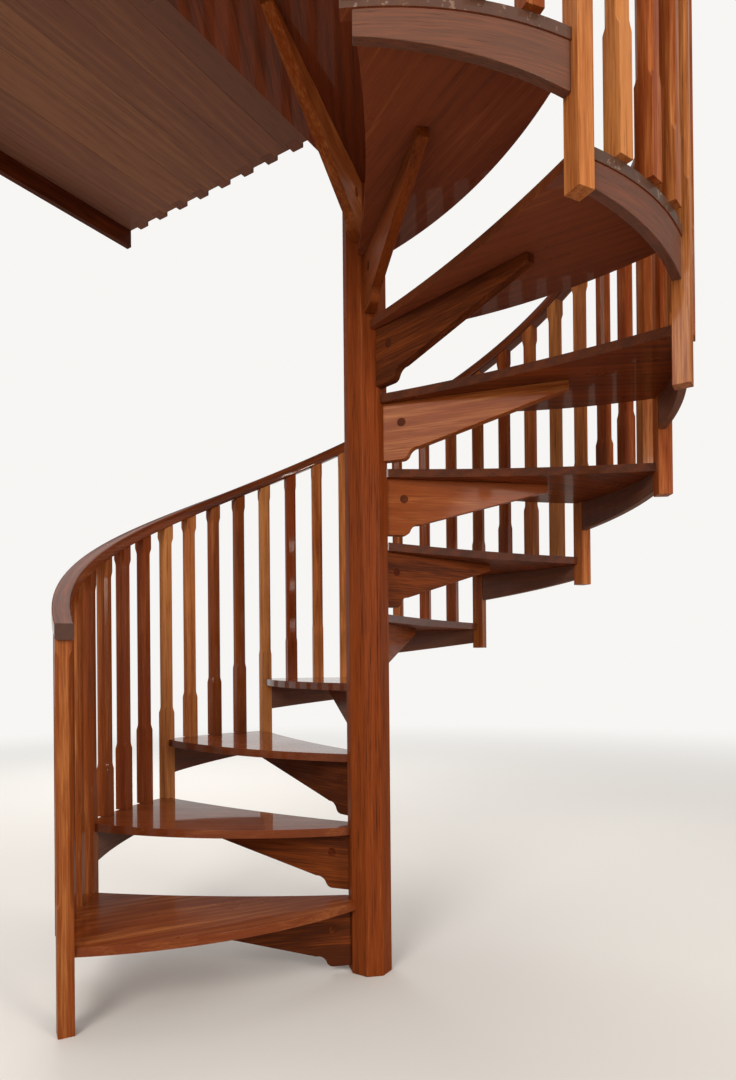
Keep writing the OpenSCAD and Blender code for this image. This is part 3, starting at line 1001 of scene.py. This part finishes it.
class STAIR_OT_landing_bearers(bpy.types.Operator):
    """Builds the bearers under the landing's edges"""
    bl_idname = "stair.landing_bearers"
    bl_label = "Landing bearers"

    def execute(self, context):
        s = sizes()
        side, t = land_side(), s.bearer_thick
        wood = timber("dark bearer timber", 1, tones=(0.0, 0.3), rough=0.38)
        top = landing_top() - s.land_thick
        half = s.bar / 2 + FIT
        mesh = Mesh()
        # Each from one corner to the opposite one: far side, outer side, and the two parts of the near side
        spans = (((-side, -side), (t - side, -s.land_edge)),
                 ((t + FIT - side, -side), (0.0, t - side)),
                 ((-t, t + FIT - side), (0.0, -s.ring - half)),
                 ((-t, -s.ring + half), (0.0, -s.newel_width / 2 - FIT)))
        for i, ((x0, y0), (x1, y1)) in enumerate(spans):
            extruded(mesh, [(x0, y0), (x1, y0), (x1, y1), (x0, y1)], top - s.bearer_deep, top,
                     draw_board("bearer %d" % i, 0.3))
        mesh.piece("landing_edge_bearers", ["landing_bearers"], wood, bevel=0.0015)
        return {"FINISHED"}


class STAIR_OT_landing_guard(bpy.types.Operator):
    """Builds the landing's balusters and the rail on them"""
    bl_idname = "stair.landing_guard"
    bl_label = "Landing guard"

    def execute(self, context):
        s = sizes()
        # The guard's balusters are darkened and greyed as painted shade
        wood = timber("guard baluster timber", 2, tones=(0.0, 0.7), grey_and_shade=0.55)
        top = landing_top()
        mesh = Mesh()
        for i, (x, y) in enumerate(guard_places()):
            baluster(mesh, Vector((x, y, 0.0)), 0.0, top - s.land_thick, top + s.guard_up,
                     top + s.block_low + s.tongue, top + s.guard_up - s.block_top,
                     draw_board("guard baluster %d" % i, GUARD_TONES[i]))
        mesh.piece("landing_bars", ["landing_balusters"], wood, bevel=0.0007)

        wood = timber("landing rail timber", 0, tones=(0.05, 0.5), gloss=0.7, rough=0.3)
        y = guard_places()[0][1]
        flat = s.newel_width / 2
        corner = flat * math.tan(math.radians(HALF_FLAT))
        # The rail's section, with a point more where it passes the corner of the post
        section = []
        points = rail_section()
        for a, b in zip(points, points[1:] + points[:1]):
            section.append(a)
            if (y - a[0] + flat) * (y - b[0] + flat) < 0:
                section.append((y + flat, a[1]))
        mesh = Mesh()
        rings = []
        start = -land_side()
        for i in range(LEVEL_STEPS + 1):
            ring = []
            for across, up in section:
                end = min(-corner, abs(y - across) - flat - corner) - FIT
                ring.append((start + (end - start) * i / LEVEL_STEPS, y - across, top + s.guard_up + up))
            rings.append(ring)
        mesh.loft(rings, draw_board("landing rail", 0.4))
        mesh.piece("landing_rail", ["landing_handrail"], wood)
        return {"FINISHED"}


# Stage

def floor_material(stage):
    """Matt pale material. It throws back a warmer and darker light than the camera sees, and far from the
    stair it passes into the colour of the background."""
    material = bpy.data.materials.new("pale floor")
    n = Nodes(material)
    camera_ray = n.node("ShaderNodeLightPath").outputs["Is Camera Ray"]
    speck = n.node("ShaderNodeTexNoise", Scale=1.5).outputs["Fac"]
    tint = n.mix(speck, stage.floor, [min(1.0, v * 1.04) for v in stage.floor])
    skin = n.node("ShaderNodeBsdfPrincipled", Roughness=0.6)
    skin.inputs["Specular IOR Level"].default_value = 0.25
    n.feed(skin.inputs["Base Color"], n.mix(camera_ray, stage.bounce, tint))
    away = n.vector("LENGTH", n.node("ShaderNodeNewGeometry").outputs["Position"])
    fade = n.node("ShaderNodeMapRange", away, *FLOOR_FADE)
    fade.interpolation_type = "SMOOTHSTEP"
    glow = n.node("ShaderNodeEmission", (*stage.wall, 1.0))
    n.finish("ShaderNodeOutputMaterial", n.blend(n.product(fade.outputs["Result"], camera_ray), skin, glow))
    return material


def lay_floor(scene):
    """Wide pale floor under the stair."""
    mesh = bpy.data.meshes.new("pale_floor")
    r = FLOOR_REACH
    mesh.from_pydata([(-r, -r, 0), (r, -r, 0), (r, r, 0), (-r, r, 0)], [], [(0, 1, 2, 3)])
    mesh.materials.append(floor_material(scene.stair_stage))
    floor = bpy.data.objects.new("pale_floor", mesh)
    scene.collection.objects.link(floor)


def studio_world(stage):
    """A plain background for the camera, even light that is weaker from the sides, and for the varnish to
    mirror, one bright band low down and another high up."""
    world = bpy.data.worlds.new("studio")
    n = Nodes(world)
    ray = n.node("ShaderNodeLightPath").outputs
    up = n.parts(n.node("ShaderNodeTexCoord").outputs["Generated"])["Z"]
    even = n.span(n.math("POWER", up, 1.5), 0.0, 1.0, stage.sky * LOW_SKY, stage.sky)
    mirrored = n.math("MAXIMUM", *(n.span(up, *band) for band in MIRRORED_BANDS))
    strength = n.node("ShaderNodeMix", Factor=ray["Is Glossy Ray"], A=even, B=mirrored).outputs["Result"]
    lit = n.node("ShaderNodeBackground", (1.0, 0.98, 0.95, 1.0), strength)
    seen = n.node("ShaderNodeBackground", (*stage.wall, 1.0))
    n.finish("ShaderNodeOutputWorld", n.blend(ray["Is Camera Ray"], lit, seen))
    return world


def soft_lamp(name, place, aim, size, power, tint, mirrored=True):
    """Round area lamp at place that faces aim."""
    lamp = bpy.data.lights.new(name, "AREA")
    lamp.shape = "DISK"
    lamp.size = size
    lamp.energy = power
    lamp.color = tint
    obj = bpy.data.objects.new(name, lamp)
    bpy.context.scene.collection.objects.link(obj)
    obj.location = place
    obj.rotation_mode = "QUATERNION"
    obj.rotation_quaternion = (Vector(aim) - Vector(place)).to_track_quat("-Z", "Y")
    obj.visible_glossy = mirrored


def photo_camera(scene):
    """Camera that sees the stair as the photograph does. Its axis lies beside the middle of the frame."""
    camera = bpy.data.cameras.new("photo_camera")
    camera.sensor_fit = "VERTICAL"
    camera.sensor_height = 36.0
    camera.lens = FOCAL / PHOTO_HIGH * camera.sensor_height
    camera.shift_x = (PHOTO_WIDE / 2 - CENTRE_X) / PHOTO_HIGH
    camera.shift_y = (CENTRE_Y - PHOTO_HIGH / 2) / PHOTO_HIGH
    camera.clip_start, camera.clip_end = 0.05, 60.0
    eye = bpy.data.objects.new("photo_camera", camera)
    eye.matrix_world = (Matrix.Translation(EYE) @ Matrix.Rotation(math.radians(HEADING), 4, "Z")
                        @ Matrix.Rotation(math.radians(90.0 + TILT), 4, "X")
                        @ Matrix.Rotation(math.radians(ROLL), 4, "Z"))
    scene.collection.objects.link(eye)
    scene.camera = eye


class STAIR_OT_stage(bpy.types.Operator):
    """Sets the pale floor, the soft lamps, the even sky light and the camera"""
    bl_idname = "stair.stage"
    bl_label = "Stage"

    def execute(self, context):
        scene = context.scene
        stage = scene.stair_stage
        lay_floor(scene)
        scene.world = studio_world(stage)
        soft_lamp("key_lamp", (0.9, -6.2, 4.0), (0, 0, 1.2), 2.8, stage.key, (1.0, 0.95, 0.88))
        soft_lamp("side_lamp", (4.8, -1.4, 2.0), (0, 0, 2.0), 1.4, stage.side, (1.0, 0.9, 0.8))
        soft_lamp("rim_lamp", (-4.4, 2.8, 3.8), (0, 0, 1.6), 2.6, stage.rim, (1.0, 0.98, 0.96),
                  mirrored=False)
        photo_camera(scene)
        scene.view_settings.view_transform = "Standard"
        return {"FINISHED"}


class STAIR_PT_panel(bpy.types.Panel):
    """Sidebar panel with the staircase's sizes, colours and steps"""
    bl_idname = "STAIR_PT_panel"
    bl_label = "Spiral staircase"
    bl_space_type = "VIEW_3D"
    bl_region_type = "UI"
    bl_category = "Stair"

    def draw(self, context):
        for group in (context.scene.stair_sizes, context.scene.stair_colours, context.scene.stair_stage):
            box = self.layout.box()
            for name in group.bl_rna.properties.keys():
                if name not in ("rna_type", "name"):
                    box.prop(group, name)
        for operator in STEPS:
            self.layout.operator(operator.bl_idname)


STEPS = (STAIR_OT_newel, STAIR_OT_treads, STAIR_OT_brackets, STAIR_OT_plugs, STAIR_OT_fascias,
         STAIR_OT_corner_balusters, STAIR_OT_tread_balusters, STAIR_OT_handrail, STAIR_OT_landing_boards,
         STAIR_OT_landing_bearers, STAIR_OT_landing_guard, STAIR_OT_stage)
GROUPS = {"stair_sizes": StairSizes, "stair_colours": StairColours, "stair_stage": StairStage}


def register():
    for name, group in GROUPS.items():
        bpy.utils.register_class(group)
        setattr(bpy.types.Scene, name, PointerProperty(type=group))
    for cls in (*STEPS, STAIR_PT_panel):
        bpy.utils.register_class(cls)


def unregister():
    for cls in (STAIR_PT_panel, *reversed(STEPS)):
        bpy.utils.unregister_class(cls)
    for name, group in GROUPS.items():
        delattr(bpy.types.Scene, name)
        bpy.utils.unregister_class(group)


def main():
    register()
    for operator in STEPS:
        family, name = operator.bl_idname.split(".")
        getattr(getattr(bpy.ops, family), name)()


if __name__ == "__main__":
    main()
